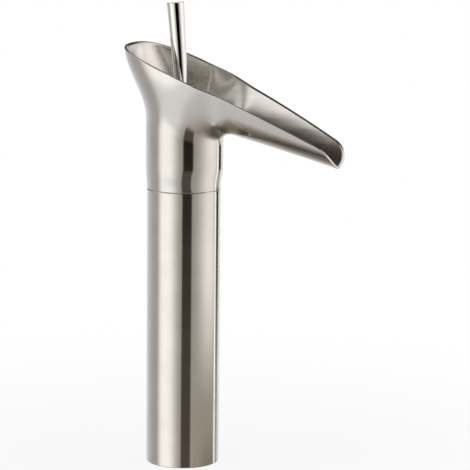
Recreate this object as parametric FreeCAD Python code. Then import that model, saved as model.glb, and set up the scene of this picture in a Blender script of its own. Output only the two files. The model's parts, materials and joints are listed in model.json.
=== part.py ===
import FreeCAD, Part
import math
import os

# Tall single-lever waterfall tap for a countertop basin.
# Millimetres, +Z up, +X the way the water runs. The origin is on the column's axis, on the deck.
# The form is symmetric about the XZ plane; the lever's joints are modelled in the closed position.

# ---- Column and foot -------------------------------------------------------------------------
COLUMN_D = 50.0            # outside diameter of the column tube
COLUMN_H = 190.0           # height of the tube, deck to joint line
COLUMN_WALL = 2.0          # tube wall
JOINT_BEVEL = 0.4          # bevel on the tube's top edge and the collar's bottom edge
FOOT_H = 12.0              # thickness of the plug in the foot of the tube
HOSE_SLOT_W = 14.0         # width of the hose slot through the plug, along X
HOSE_SLOT_L = 28.0         # length of the hose slot, along Y
STUD_SPACING = 31.0        # distance between the two stud holes, along X
STUD_TAP_D = 6.8           # tapping diameter of the M8 stud holes
GASKET_W = 1.8             # width of the deck gasket's section
GASKET_H = 1.6             # depth of the gasket's groove
GASKET_EDGE = 1.2          # plug wall left outside the gasket's groove

# ---- Fits ------------------------------------------------------------------------------------
FIT = 0.05                 # radial clearance where two fixed round faces meet
RUN = 0.05                 # radial clearance where a round face turns or slides in another
SWING = 0.3                # gap between the lever's cover and the dome it swings over

# ---- Head: outer form ------------------------------------------------------------------------
COLLAR_SWELL = 1.15        # growth of the collar's radius above the joint line
COLLAR_LEAN = 0.5          # forward shift of the collar's centre above the joint line
SWELL_H = 10.0             # height over which the collar swells
FLARE_RISE = 40.5          # from the joint line to the start of the flare, on the axis
RIM_RISE = 83.0            # from the joint line to the rim, on the axis
RIM_SLOPE = 0.37           # fall of the rim per millimetre towards the mouth, on the axis
RIM_BEND = 0.0005          # how much the rim's slope steepens towards the mouth
BOWL_BACK = 40.3           # reach of the rim behind the axis
BOWL_SIDE = 32.3           # half width of the bowl at the rim
BOWL_SHIFT = 5.0           # how far the bowl's widest place lies in front of the axis, at the rim
BOWL_FULLNESS = 0.6        # added to the ellipse exponent 2 at the rim
REACH = 115.6              # from the axis to the tip of the mouth
KEEL_DROP = 61.1           # from the rim on the axis down to the underside at the mouth
KEEL_SLOPE = 0.235         # rise of the underside per millimetre back from the mouth
KEEL_BEND = 0.0002         # how much the underside's rise flattens towards the column
TROUGH_SIDE = 32.2         # half width of the trough's rim, carried back to the axis
TROUGH_TAPER = 0.075       # narrowing of that half width per millimetre
TROUGH_BEND = 0.0006       # how much the narrowing grows towards the mouth
TROUGH_ROUND = 1.8         # exponent of the trough's U section
BLEND = 11.0               # softness of the meeting of bowl and trough
LIP_R = 16.5               # radius of the mouth's lip, seen from the side
SHELL_WALL = 2.0           # wall of the bowl and the trough
TRACE_POINTS = 32          # points on half an outline
TRACE_CROWD = 0.8          # how much closer together those points lie at the mouth than at the back
TRACE_LEVELS = 26          # outlines in one skin
TRACE_STEP = 2.0           # stride of the search for the skin along a ray
TRACE_HALVINGS = 30        # times that the last stride is halved
LEAST_HALF_WIDTH = 0.5     # floor of the trough's half width, where it fades out
LEAST_DEPTH = 4.0          # floor of the trough's depth

# ---- Head: inside ----------------------------------------------------------------------------
COUPLING_IN_TUBE = 14.0    # length of the coupling inside the tube
COUPLING_IN_COLLAR = 12.0  # length of the coupling inside the collar
COUPLING_STEP = 0.4        # shoulder that rests on the tube's top edge
COUPLING_WALL = 2.5        # wall of the coupling inside the tube
SEAL_D = 1.6               # section of the round seals
WEB_RISE = 23.0            # from the joint line to the underside of the bowl's floor
WEB_T = 8.0                # thickness of the bowl's floor
PLENUM_W = 3.2             # width of the ring channel under the floor
PLENUM_H = 3.0             # height of the ring channel
PLENUM_EDGE = 1.6          # from the collar's bore to the ring channel
NECK_SEAL_EDGE = 1.0       # from the neck to the seal round it
FLANGE_GROOVE = 1.3        # depth of the seal's groove round the core's flange
OUTLET_D = 2.8             # water outlets in the floor
OUTLET_COUNT = 10          # number of water outlets

# ---- Valve core ------------------------------------------------------------------------------
CORE_FLANGE_H = 9.0        # height of the core's flange under the floor
CORE_BODY_D = 34.0         # diameter of the core below its flange
CORE_BODY_H = 26.0         # length of the core below its flange
SEAT_D = 25.2              # bore that holds the cartridge
NECK_WALL = 1.8            # wall of the neck round that bore
SEAT_FLOOR = 3.0           # depth of the cartridge's seat below the floor's underside
INLET_SPACING = 14.0       # distance between the two hose threads, along Y
INLET_TAP_D = 9.0          # tapping diameter of the M10x1 hose threads
INLET_DEPTH = 10.0         # depth of the hose threads
RISER_D = 3.0              # passage from the outlet chamber up to the ring channel
CHAMBER_FLOOR = 1.0        # metal under the outlet chamber
CORE_NUT_W = 3.6           # radial width of the ring nut over the floor
CORE_NUT_H = 4.0
NUT_NOTCH = 3.0            # width of the ring nut's spanner notches

# ---- Cartridge -------------------------------------------------------------------------------
PORT_D = 4.0               # water ports in the base and the fixed disc
PORT_IN_X = -2.5           # inlet ports, behind the axis
PORT_IN_Y = 5.0            # inlet ports, either side
PORT_OUT_X = 4.5           # outlet port, in front of the axis
BASE_T = 3.0               # cartridge base plate
PORT_SEAL_H = 1.2          # port seals under the base
PORT_SEAL_W = 1.1          # radial width of a port seal
DISC_T = 3.2               # thickness of each ceramic disc
HOUSING_WALL = 1.2         # cartridge housing wall
HOUSING_LIP_T = 2.7        # thickness of the housing's top lip
DISC_MARGIN = 0.56         # from the moving disc to the housing at the end of its stroke
POCKET_LENGTH = 6.8        # mixing pocket in the moving disc, along X
POCKET_WIDTH = 10.0        # mixing pocket, along Y
POCKET_H = 1.6             # mixing pocket's depth
POCKET_SHIFT = 3.1         # mixing pocket's centre in front of the disc's centre
DISC_EDGE = 1.0            # disc left round the pocket
CARRIER_T = 5.0            # disc carrier's height
CARRIER_FLAT = 11.8        # width across the carrier's flats
CARRIER_FLOOR = 0.6        # floor under the ball's socket
BALL_GAP = 0.3             # room under the ball at its lowest
CARRIER_BRIM = 1.0         # round brim below the carrier's flats
TURRET_NECK_D = 17.6       # neck of the turret that carries the lever
TURRET_FLANGE_T = 2.0      # thickness of the flange that turns under the housing's lip
TURRET_FLANGE_GAP = 0.15   # radial room round that flange
TURRET_TOP = 3.5           # turret's top above the pivot
TURRET_LEG_T = 2.2         # legs that guide the carrier's flats
TURRET_LEG_L = 10.0        # length of the legs, along X
TURRET_PLAY = 0.3          # axial play of the turret in its housing
SLOT_GAP = 0.6             # room at each end of the lever's slot
NUT_THREAD_L = 4.3         # thread of the cartridge nut in the neck
NUT_FLATS = 23.0           # across the flats of the cartridge nut
NUT_HEX_H = 3.0            # height of the nut's hexagon
NUT_GAP = 0.8              # radial room between the nut and the turret

# ---- Lever -----------------------------------------------------------------------------------
LEVER_LEAN = 4.9           # degrees that the closed lever leans back
LEVER_OPEN = 22.0          # degrees that the lever tilts forward to full flow
BALL_ARM = 10.5            # from the pivot down to the ball
BALL_D = 4.4
STEM_D = 2.8               # stem between the ball and the block
BLOCK_T = 4.8              # thickness of the pivot block, along Y
BLOCK_L = 6.0              # length of the pivot block, along X
BLOCK_BELOW = 4.0          # pivot block below the pivot
BLOCK_OVER = 3.0           # pivot block above the turret's top
SPINDLE_D = 6.0            # spindle through the dome
TENON_D = 5.0              # upper end of the spindle, inside the handle
TENON_L = 13.5
PIN_D = 2.5                # pivot pin
PIN_SHORT = 0.8            # pin's end below the turret's neck
DOME_SKIRT = 2.6           # wall of the dome where it is screwed on the neck
DOME_WALL = 1.8            # wall of the dome's round top
MOUTH_GAP = 1.0            # room round the spindle in the dome's opening
COVER_WALL = 1.2           # cover that swings over the dome's opening
COVER_ANGLE = 50.0         # degrees from the lever's axis to the cover's edge
HUB_RISE = 1.0             # flat hub on the cover, where the handle stands
HANDLE_L = 63.8            # length of the handle rod
HANDLE_FOOT_D = 8.4        # handle's diameter at its lower end
HANDLE_TOP_D = 11.86       # handle's diameter at its upper end
HANDLE_ROUND = 0.5         # round on the handle's top edge
HANDLE_CROWN = 0.35        # crown of the handle's top face
TENON_GAP = 0.5            # room over the tenon in the handle's bore
SCREW_RISE = 5.0           # set screw above the handle's foot
SCREW_D = 2.4

# ---- Worked out from the above ---------------------------------------------------------------
COLUMN_R = COLUMN_D / 2
TUBE_BORE_R = COLUMN_R - COLUMN_WALL
COLLAR_BORE_R = TUBE_BORE_R + COUPLING_STEP
FLARE_Z = COLUMN_H + FLARE_RISE
RIM_Z = COLUMN_H + RIM_RISE
KEEL_TIP_Z = RIM_Z - KEEL_DROP
WEB_Z = COLUMN_H + WEB_RISE
FLOOR_Z = WEB_Z + WEB_T
PLENUM_R = COLLAR_BORE_R - PLENUM_EDGE - PLENUM_W / 2
SEAT_R = SEAT_D / 2
NECK_R = SEAT_R + NECK_WALL
SEAT_Z = WEB_Z - SEAT_FLOOR
CORE_FLANGE_Z = WEB_Z - CORE_FLANGE_H
CORE_BOTTOM_Z = CORE_FLANGE_Z - CORE_BODY_H
CARTRIDGE_R = SEAT_R - FIT
FIXED_DISC_Z = SEAT_Z + BASE_T
MOVING_DISC_Z = FIXED_DISC_Z + DISC_T
CARRIER_Z = MOVING_DISC_Z + DISC_T
PIVOT_Z = CARRIER_Z + CARRIER_FLOOR + BALL_GAP + BALL_D / 2 + BALL_ARM
TURRET_FLANGE_Z = CARRIER_Z + CARRIER_T + TURRET_PLAY
HOUSING_LIP_Z = TURRET_FLANGE_Z + TURRET_FLANGE_T + TURRET_PLAY
HOUSING_TOP_Z = HOUSING_LIP_Z + HOUSING_LIP_T
HOUSING_BORE_R = CARTRIDGE_R - HOUSING_WALL
NECK_TOP_Z = HOUSING_TOP_Z + NUT_THREAD_L
DOME_R = NECK_R + DOME_SKIRT
DOME_Z = FLOOR_Z + CORE_NUT_H
COVER_IN_R = DOME_R + SWING
COVER_OUT_R = COVER_IN_R + COVER_WALL
HUB_TOP = COVER_OUT_R + HUB_RISE
FORWARD = math.radians(LEVER_OPEN - LEVER_LEAN)
BALL_X = BALL_ARM * math.sin(math.radians(LEVER_LEAN))
MOVING_DISC_R = HOUSING_BORE_R - BALL_ARM * math.sin(FORWARD) - DISC_MARGIN
SLOT_REACH = max(BLOCK_BELOW, TURRET_TOP) * math.tan(FORWARD) + BLOCK_L / 2 / math.cos(FORWARD) + SLOT_GAP
MOUTH_R = DOME_R * math.sin(FORWARD) + SPINDLE_D / 2 / math.cos(FORWARD) + MOUTH_GAP

X_AXIS = FreeCAD.Vector(1, 0, 0)
Y_AXIS = FreeCAD.Vector(0, 1, 0)
Z_AXIS = FreeCAD.Vector(0, 0, 1)


# ---- Plain solids ----------------------------------------------------------------------------
def rod(radius, low, high, x=0.0, y=0.0):
    """Upright cylinder between two heights."""
    return Part.makeCylinder(radius, high - low, FreeCAD.Vector(x, y, low), Z_AXIS)


def ring(outer, inner, low, high, x=0.0, y=0.0):
    """Upright ring between two heights."""
    return rod(outer, low, high, x, y).cut(rod(inner, low - 1.0, high + 1.0, x, y))


def block(length, width, low, high, x=0.0, y=0.0):
    """Upright box centred on a point, between two heights."""
    corner = FreeCAD.Vector(x - length / 2, y - width / 2, low)
    return Part.makeBox(length, width, high - low, corner)


def turned(outline):
    """Solid turned about the Z axis from (radius, height) points."""
    points = [FreeCAD.Vector(radius, 0, height) for radius, height in outline]
    wire = Part.makePolygon(points + [points[0]])
    return Part.Face(wire).revolve(FreeCAD.Vector(0, 0, 0), Z_AXIS, 360.0)


def hexagon(flats, low, high):
    """Upright hexagonal prism, given across its flats."""
    corner_r = flats / 2 / math.cos(math.pi / 6)
    points = []
    for corner in range(7):
        angle = math.pi / 3 * corner
        points.append(FreeCAD.Vector(corner_r * math.cos(angle), corner_r * math.sin(angle), low))
    return Part.Face(Part.makePolygon(points)).extrude(FreeCAD.Vector(0, 0, high - low))


# ---- The head's skin -------------------------------------------------------------------------
# The outer form is a soft union of two forms, each given by a function that is negative inside,
# zero on the surface and near the distance to it elsewhere. Outlines traced on tilted planes are
# then skinned. The inner form is the same function traced a wall's thickness further in.
def ease(t):
    """Smooth step from 0 to 1."""
    t = min(max(t, 0.0), 1.0)
    return t * t * (3.0 - 2.0 * t)


def soft_min(a, b, softness):
    """Smaller of two values, rounded where they are near each other."""
    near = max(softness - abs(a - b), 0.0) / softness
    return min(a, b) - near * near * softness / 4


def rim_height(x):
    return RIM_Z - RIM_SLOPE * x - RIM_BEND * x * x


def keel_height(x):
    back = REACH - x
    return KEEL_TIP_Z + KEEL_SLOPE * back - KEEL_BEND * back * back


def bowl_distance(x, y, z):
    """The collar, and the bowl that flares from it along lines parallel to the rim."""
    level = z + RIM_Z - rim_height(x)
    flare = ease((level - FLARE_Z) / (RIM_Z - FLARE_Z))
    swell = ease((z - COLUMN_H) / SWELL_H)
    collar = COLUMN_R + COLLAR_SWELL * swell
    side = collar + (BOWL_SIDE - collar) * flare
    back = collar + (BOWL_BACK + BOWL_SHIFT - collar) * flare
    centre = COLLAR_LEAN * swell * (1 - flare) + BOWL_SHIFT * flare
    along = back if x < centre else side
    power = 2.0 + BOWL_FULLNESS * flare
    ratio = (abs(x - centre) / along) ** power + (abs(y) / side) ** power
    return (ratio ** (1 / power) - 1) * math.sqrt(along * side)


def trough_distance(x, y, z):
    """The tapering trough, a U in section, faded out behind the bowl's middle."""
    fade = ease((x + BOWL_SIDE) / (BOWL_SIDE + COLUMN_R))
    half_width = max((TROUGH_SIDE - TROUGH_TAPER * x - TROUGH_BEND * x * x) * fade, LEAST_HALF_WIDTH)
    depth = max(rim_height(x) - keel_height(x), LEAST_DEPTH)
    across = abs(y) / half_width
    value = across ** TROUGH_ROUND - (z - keel_height(x)) / depth
    slope_y = TROUGH_ROUND * across ** (TROUGH_ROUND - 1) / half_width
    slope_z = 1 / depth
    return max(value / math.hypot(slope_y, slope_z), -COLUMN_R / 2 - x)


def skin_distance(x, y, z):
    """Bowl and trough together, closed off in front of the mouth."""
    union = soft_min(bowl_distance(x, y, z), trough_distance(x, y, z), BLEND)
    nose = x - REACH - LIP_R / 2
    return -soft_min(-union, -nose, LIP_R / 2)


def outline(height, tilt, inset):
    """Closed outline of the skin, inset by a wall, on the plane z = height - tilt * x."""
    half = []
    for index in range(TRACE_POINTS + 1):
        turn = math.pi * index / TRACE_POINTS
        angle = turn - TRACE_CROWD * math.sin(turn)
        along_x = math.cos(angle)
        along_y = math.sin(angle)

        def value(radius):
            x = radius * along_x
            return skin_distance(x, radius * along_y, height - tilt * x) + inset

        outside = COLUMN_R / 2
        while value(outside) < 0:
            outside += TRACE_STEP
        inside = outside - TRACE_STEP
        for _ in range(TRACE_HALVINGS):
            middle = (inside + outside) / 2
            if value(middle) < 0:
                inside = middle
            else:
                outside = middle
        x = inside * along_x
        half.append(FreeCAD.Vector(x, inside * along_y, height - tilt * x))
    mirrored = [FreeCAD.Vector(p.x, -p.y, p.z) for p in half[-2:0:-1]]
    points = half + mirrored
    curve = Part.BSplineCurve()
    knots = [float(index) for index in range(len(points) + 1)]
    curve.interpolate(Points=points, PeriodicFlag=True, Parameters=knots)
    return Part.Wire(curve.toShape())


def skin_solid(bottom, full_tilt, top, inset):
    """Solid between a level plane and a plane above the rim. The planes fan from flat to tilted."""
    tilt_limit = RIM_SLOPE + RIM_BEND * REACH / 2
    wires = []
    for index in range(TRACE_LEVELS):
        height = bottom + (top - bottom) * index / (TRACE_LEVELS - 1)
        tilt = tilt_limit * ease((height - bottom) / (full_tilt - bottom))
        wires.append(outline(height, tilt, inset))
    return Part.makeLoft(wires, True, False)


def side_profile():
    """Everything below the rim line and behind the lip's arc, as one thick slab along Y."""
    lip_x = REACH - LIP_R
    tangent_x = lip_x
    for _ in range(20):
        slope = -RIM_SLOPE - 2 * RIM_BEND * tangent_x
        tangent_x = lip_x - LIP_R * slope / math.hypot(1, slope)
    tangent_z = rim_height(tangent_x)
    lip_z = tangent_z - LIP_R / math.hypot(1, slope)
    half_turn = math.atan2(tangent_z - lip_z, tangent_x - lip_x) / 2
    back_x = -2 * BOWL_BACK
    width = 4 * BOWL_SIDE

    def point(x, z):
        return FreeCAD.Vector(x, -width / 2, z)

    back_top = point(back_x, rim_height(back_x))
    middle_x = (back_x + tangent_x) / 2
    tangent = point(tangent_x, tangent_z)
    lip_middle = point(lip_x + LIP_R * math.cos(half_turn), lip_z + LIP_R * math.sin(half_turn))
    lip_end = point(REACH, lip_z)
    edges = [
        Part.Arc(back_top, point(middle_x, rim_height(middle_x)), tangent).toShape(),
        Part.Arc(tangent, lip_middle, lip_end).toShape(),
        Part.LineSegment(lip_end, point(REACH, 0)).toShape(),
        Part.LineSegment(point(REACH, 0), point(back_x, 0)).toShape(),
        Part.LineSegment(point(back_x, 0), back_top).toShape(),
    ]
    return Part.Face(Part.Wire(edges)).extrude(FreeCAD.Vector(0, width, 0))


# ---- Column and foot -------------------------------------------------------------------------
def column_tube():
    return turned([
        (TUBE_BORE_R, 0),
        (COLUMN_R, 0),
        (COLUMN_R, COLUMN_H - JOINT_BEVEL),
        (COLUMN_R - JOINT_BEVEL, COLUMN_H),
        (TUBE_BORE_R, COLUMN_H),
    ])


def gasket_radii(clearance):
    outer = TUBE_BORE_R - FIT - GASKET_EDGE
    return outer - clearance, outer - GASKET_W + clearance


def base_plug():
    plug = rod(TUBE_BORE_R - FIT, 0, FOOT_H)
    straight = HOSE_SLOT_L - HOSE_SLOT_W
    slot = block(HOSE_SLOT_W, straight, -1, FOOT_H + 1)
    for side in (-1, 1):
        slot = slot.fuse(rod(HOSE_SLOT_W / 2, -1, FOOT_H + 1, 0, side * straight / 2))
        plug = plug.cut(rod(STUD_TAP_D / 2, -1, FOOT_H + 1, side * STUD_SPACING / 2, 0))
    outer, inner = gasket_radii(0)
    return plug.cut(slot).cut(ring(outer, inner, -1, GASKET_H))


def deck_gasket():
    outer, inner = gasket_radii(FIT)
    return ring(outer, inner, 0, GASKET_H)


# ---- Joint between column and head -----------------------------------------------------------
def joint_seal_place():
    """Height of the joint seal's groove, and the radius of the groove's floor."""
    return COLUMN_H + COUPLING_IN_COLLAR / 2 - SEAL_D / 2, COLLAR_BORE_R - SEAL_D


def column_coupling():
    bore_r = TUBE_BORE_R - FIT - COUPLING_WALL
    body = turned([
        (bore_r, COLUMN_H - COUPLING_IN_TUBE),
        (TUBE_BORE_R - FIT, COLUMN_H - COUPLING_IN_TUBE),
        (TUBE_BORE_R - FIT, COLUMN_H),
        (COLLAR_BORE_R - FIT, COLUMN_H),
        (COLLAR_BORE_R - FIT, COLUMN_H + COUPLING_IN_COLLAR),
        (bore_r, COLUMN_H + COUPLING_IN_COLLAR),
    ])
    low, floor_r = joint_seal_place()
    return body.cut(ring(COLLAR_BORE_R + 1, floor_r, low, low + SEAL_D))


def joint_seal():
    low, floor_r = joint_seal_place()
    return ring(COLLAR_BORE_R - FIT, floor_r + FIT, low + FIT, low + SEAL_D - FIT)


# ---- Head casting ----------------------------------------------------------------------------
def spout_body():
    above_rim = RIM_Z + 2 * SHELL_WALL
    keel_starts = keel_height(COLUMN_R) + RIM_SLOPE * COLUMN_R
    outer = skin_solid(COLUMN_H, FLARE_Z, above_rim, 0.0)
    inner = skin_solid(FLOOR_Z, keel_starts + SHELL_WALL, above_rim + SHELL_WALL, SHELL_WALL)
    body = outer.common(side_profile()).cut(inner)
    body = body.cut(rod(COLLAR_BORE_R, COLUMN_H - 1, WEB_Z))
    body = body.cut(rod(NECK_R + FIT, WEB_Z - 1, FLOOR_Z + 1))
    body = body.cut(ring(PLENUM_R + PLENUM_W / 2, PLENUM_R - PLENUM_W / 2, WEB_Z - 1, WEB_Z + PLENUM_H))
    for index in range(OUTLET_COUNT):
        angle = 2 * math.pi * (index + 0.5) / OUTLET_COUNT
        x = PLENUM_R * math.cos(angle)
        y = PLENUM_R * math.sin(angle)
        body = body.cut(rod(OUTLET_D / 2, WEB_Z + 1, FLOOR_Z + 1, x, y))
    bevel = turned([
        (COLUMN_R - JOINT_BEVEL, COLUMN_H),
        (COLUMN_R + 1, COLUMN_H - 1),
        (COLUMN_R + 1, COLUMN_H + 1 + JOINT_BEVEL),
    ])
    return body.cut(bevel)


# ---- Valve core ------------------------------------------------------------------------------
def inner_seal_radii():
    inner = NECK_R + NECK_SEAL_EDGE
    return inner + SEAL_D, inner


def outer_seal_place():
    """Height of the flange seal's groove, and the radius of the groove's floor."""
    return WEB_Z - 2 * SEAL_D, COLLAR_BORE_R - FLANGE_GROOVE


def port_places():
    return [(PORT_IN_X, PORT_IN_Y), (PORT_IN_X, -PORT_IN_Y), (PORT_OUT_X, 0.0)]


def valve_core():
    core = turned([
        (0, CORE_BOTTOM_Z),
        (CORE_BODY_D / 2, CORE_BOTTOM_Z),
        (CORE_BODY_D / 2, CORE_FLANGE_Z),
        (COLLAR_BORE_R - FIT, CORE_FLANGE_Z),
        (COLLAR_BORE_R - FIT, WEB_Z),
        (NECK_R, WEB_Z),
        (NECK_R, NECK_TOP_Z),
        (SEAT_R, NECK_TOP_Z),
        (SEAT_R, SEAT_Z),
        (0, SEAT_Z),
    ])
    for side in (-1, 1):
        hose_y = side * INLET_SPACING / 2
        thread_top = CORE_BOTTOM_Z + INLET_DEPTH
        core = core.cut(rod(INLET_TAP_D / 2, CORE_BOTTOM_Z - 1, thread_top, 0, hose_y))
        core = core.cut(rod(PORT_D / 2, thread_top - 1, SEAT_Z + 1, PORT_IN_X, side * PORT_IN_Y))
    chamber_z = CORE_FLANGE_Z + RISER_D / 2 + CHAMBER_FLOOR
    core = core.cut(rod(PORT_D / 2, chamber_z, SEAT_Z + 1, PORT_OUT_X, 0))
    chamber_start = FreeCAD.Vector(PORT_OUT_X, 0, chamber_z)
    core = core.cut(Part.makeCylinder(RISER_D / 2, PLENUM_R - PORT_OUT_X, chamber_start, X_AXIS))
    core = core.cut(rod(RISER_D / 2, chamber_z, WEB_Z + 1, PLENUM_R, 0))
    outer, inner = inner_seal_radii()
    core = core.cut(ring(outer, inner, WEB_Z - SEAL_D, WEB_Z + 1))
    low, floor_r = outer_seal_place()
    return core.cut(ring(COLLAR_BORE_R + 1, floor_r, low, low + SEAL_D))


def neck_seal():
    outer, inner = inner_seal_radii()
    return ring(outer - FIT, inner + FIT, WEB_Z - SEAL_D, WEB_Z)


def flange_seal():
    low, floor_r = outer_seal_place()
    return ring(COLLAR_BORE_R - FIT, floor_r + FIT, low + FIT, low + SEAL_D - FIT)


def core_nut():
    nut_r = NECK_R + CORE_NUT_W
    nut = ring(nut_r, NECK_R + FIT, FLOOR_Z, DOME_Z)
    for quarter in range(4):
        notch = block(NUT_NOTCH, NUT_NOTCH, FLOOR_Z + CORE_NUT_H / 2, DOME_Z + 1, nut_r, 0)
        notch.rotate(FreeCAD.Vector(0, 0, 0), Z_AXIS, 45.0 + 90.0 * quarter)
        nut = nut.cut(notch)
    return nut


# ---- Cartridge -------------------------------------------------------------------------------
def cartridge_base():
    base = rod(CARTRIDGE_R, SEAT_Z, FIXED_DISC_Z)
    for x, y in port_places():
        base = base.cut(rod(PORT_D / 2, SEAT_Z - 1, FIXED_DISC_Z + 1, x, y))
        base = base.cut(rod(PORT_D / 2 + PORT_SEAL_W + FIT, SEAT_Z - 1, SEAT_Z + PORT_SEAL_H, x, y))
    return base


def port_seals():
    seals = []
    for x, y in port_places():
        seals.append(ring(PORT_D / 2 + PORT_SEAL_W, PORT_D / 2, SEAT_Z, SEAT_Z + PORT_SEAL_H, x, y))
    return Part.makeCompound(seals)


def fixed_disc():
    disc = rod(HOUSING_BORE_R - FIT, FIXED_DISC_Z, MOVING_DISC_Z)
    for x, y in port_places():
        disc = disc.cut(rod(PORT_D / 2, FIXED_DISC_Z - 1, MOVING_DISC_Z + 1, x, y))
    return disc


def moving_disc():
    disc = rod(MOVING_DISC_R, MOVING_DISC_Z, CARRIER_Z, BALL_X, 0)
    pocket = block(
        POCKET_LENGTH, POCKET_WIDTH, MOVING_DISC_Z - 1, MOVING_DISC_Z + POCKET_H, BALL_X + POCKET_SHIFT
    )
    edge = rod(MOVING_DISC_R - DISC_EDGE, MOVING_DISC_Z - 1, CARRIER_Z, BALL_X, 0)
    return disc.cut(pocket.common(edge))


def disc_carrier():
    top = CARRIER_Z + CARRIER_T
    carrier = rod(MOVING_DISC_R, CARRIER_Z, top, BALL_X, 0)
    flats = block(4 * MOVING_DISC_R, CARRIER_FLAT, CARRIER_Z + CARRIER_BRIM, top, BALL_X)
    brim = rod(MOVING_DISC_R, CARRIER_Z, CARRIER_Z + CARRIER_BRIM, BALL_X, 0)
    socket = rod(BALL_D / 2 + RUN, CARRIER_Z + CARRIER_FLOOR, top + 1, BALL_X, 0)
    return carrier.common(flats).fuse(brim).removeSplitter().cut(socket)


def cartridge_housing():
    housing = turned([
        (HOUSING_BORE_R, FIXED_DISC_Z),
        (CARTRIDGE_R, FIXED_DISC_Z),
        (CARTRIDGE_R, HOUSING_TOP_Z),
        (TURRET_NECK_D / 2 + RUN, HOUSING_TOP_Z),
        (TURRET_NECK_D / 2 + RUN, HOUSING_LIP_Z),
        (HOUSING_BORE_R, HOUSING_LIP_Z),
    ])
    low, outer = turret_seal_place()
    return housing.cut(ring(outer, TURRET_NECK_D / 2, low, low + SEAL_D))


def turret_seal_place():
    """Height of the turret seal's groove in the lip, and the groove's outer radius."""
    return HOUSING_LIP_Z + (HOUSING_LIP_T - SEAL_D) / 2, TURRET_NECK_D / 2 + SEAL_D


def turret_seal():
    low, outer = turret_seal_place()
    return ring(outer - FIT, TURRET_NECK_D / 2 + RUN, low + FIT, low + SEAL_D - FIT)


def turret():
    top = PIVOT_Z + TURRET_TOP
    body = rod(TURRET_NECK_D / 2, TURRET_FLANGE_Z, top)
    flange_r = HOUSING_BORE_R - TURRET_FLANGE_GAP
    body = body.fuse(rod(flange_r, TURRET_FLANGE_Z, TURRET_FLANGE_Z + TURRET_FLANGE_T))
    leg_low = CARRIER_Z + CARRIER_BRIM + TURRET_PLAY
    for side in (-1, 1):
        leg_y = side * (CARRIER_FLAT / 2 + RUN + TURRET_LEG_T / 2)
        body = body.fuse(block(TURRET_LEG_L, TURRET_LEG_T, leg_low, TURRET_FLANGE_Z + 1, 0, leg_y))
    body = body.cut(block(2 * SLOT_REACH, BLOCK_T + 2 * RUN, TURRET_FLANGE_Z - 1, top + 1))
    return body.cut(pin_shape(PIN_D / 2 + FIT)).removeSplitter()


def pin_shape(radius):
    half_length = TURRET_NECK_D / 2 - PIN_SHORT
    start = FreeCAD.Vector(0, -half_length, PIVOT_Z)
    return Part.makeCylinder(radius, 2 * half_length, start, Y_AXIS)


def pivot_pin():
    return pin_shape(PIN_D / 2)


def cartridge_nut():
    thread = rod(SEAT_R - FIT, HOUSING_TOP_Z, NECK_TOP_Z)
    head = hexagon(NUT_FLATS, NECK_TOP_Z, NECK_TOP_Z + NUT_HEX_H)
    bore = rod(TURRET_NECK_D / 2 + NUT_GAP, HOUSING_TOP_Z - 1, NECK_TOP_Z + NUT_HEX_H + 1)
    return thread.fuse(head).cut(bore).removeSplitter()


def dome():
    """Cover over the cartridge, screwed on the neck: a drum with a round top."""
    centre = FreeCAD.Vector(0, 0, PIVOT_Z)
    outside = rod(DOME_R, DOME_Z, PIVOT_Z).fuse(Part.makeSphere(DOME_R, centre))
    outside = outside.cut(rod(2 * DOME_R, DOME_Z - 2 * DOME_R, DOME_Z))
    inside = Part.makeSphere(DOME_R - DOME_WALL, centre)
    inside = inside.common(rod(DOME_R, NECK_TOP_Z, PIVOT_Z + DOME_R))
    neck = rod(NECK_R + FIT, DOME_Z - 1, NECK_TOP_Z)
    mouth = rod(MOUTH_R, PIVOT_Z, PIVOT_Z + 2 * DOME_R)
    return outside.cut(inside).cut(neck).cut(mouth).removeSplitter()


# ---- Lever: drawn upright with the pivot at the origin, then leaned back and lifted ------------
def lean(shape):
    shape.rotate(FreeCAD.Vector(0, 0, 0), Y_AXIS, -LEVER_LEAN)
    shape.translate(FreeCAD.Vector(0, 0, PIVOT_Z))
    return shape


def lever_spindle():
    spindle = Part.makeSphere(BALL_D / 2, FreeCAD.Vector(0, 0, -BALL_ARM))
    spindle = spindle.fuse(rod(STEM_D / 2, -BALL_ARM, -BLOCK_BELOW + 1))
    block_top = TURRET_TOP + BLOCK_OVER
    spindle = spindle.fuse(block(BLOCK_L, BLOCK_T, -BLOCK_BELOW, block_top))
    spindle = spindle.fuse(rod(SPINDLE_D / 2, block_top, HUB_TOP))
    spindle = spindle.fuse(rod(TENON_D / 2, HUB_TOP - 1, HUB_TOP + TENON_L))
    hole = Part.makeCylinder(PIN_D / 2 + RUN, 2 * BLOCK_T, FreeCAD.Vector(0, -BLOCK_T, 0), Y_AXIS)
    return lean(spindle.cut(hole).removeSplitter())


def lever_cover():
    """Cap that swings over the dome's opening with the lever."""
    origin = FreeCAD.Vector(0, 0, 0)
    edge_z = COVER_OUT_R * math.cos(math.radians(COVER_ANGLE))
    shell = Part.makeSphere(COVER_OUT_R, origin).fuse(rod(HANDLE_FOOT_D / 2, COVER_IN_R, HUB_TOP))
    shell = shell.common(rod(2 * COVER_OUT_R, edge_z, HUB_TOP))
    shell = shell.cut(Part.makeSphere(COVER_IN_R, origin))
    return lean(shell.cut(rod(SPINDLE_D / 2 + FIT, 0, 2 * HUB_TOP)).removeSplitter())


def handle_radius(rise):
    """Radius of the tapered handle at a height above its foot."""
    return (HANDLE_FOOT_D + (HANDLE_TOP_D - HANDLE_FOOT_D) * rise / HANDLE_L) / 2


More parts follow.
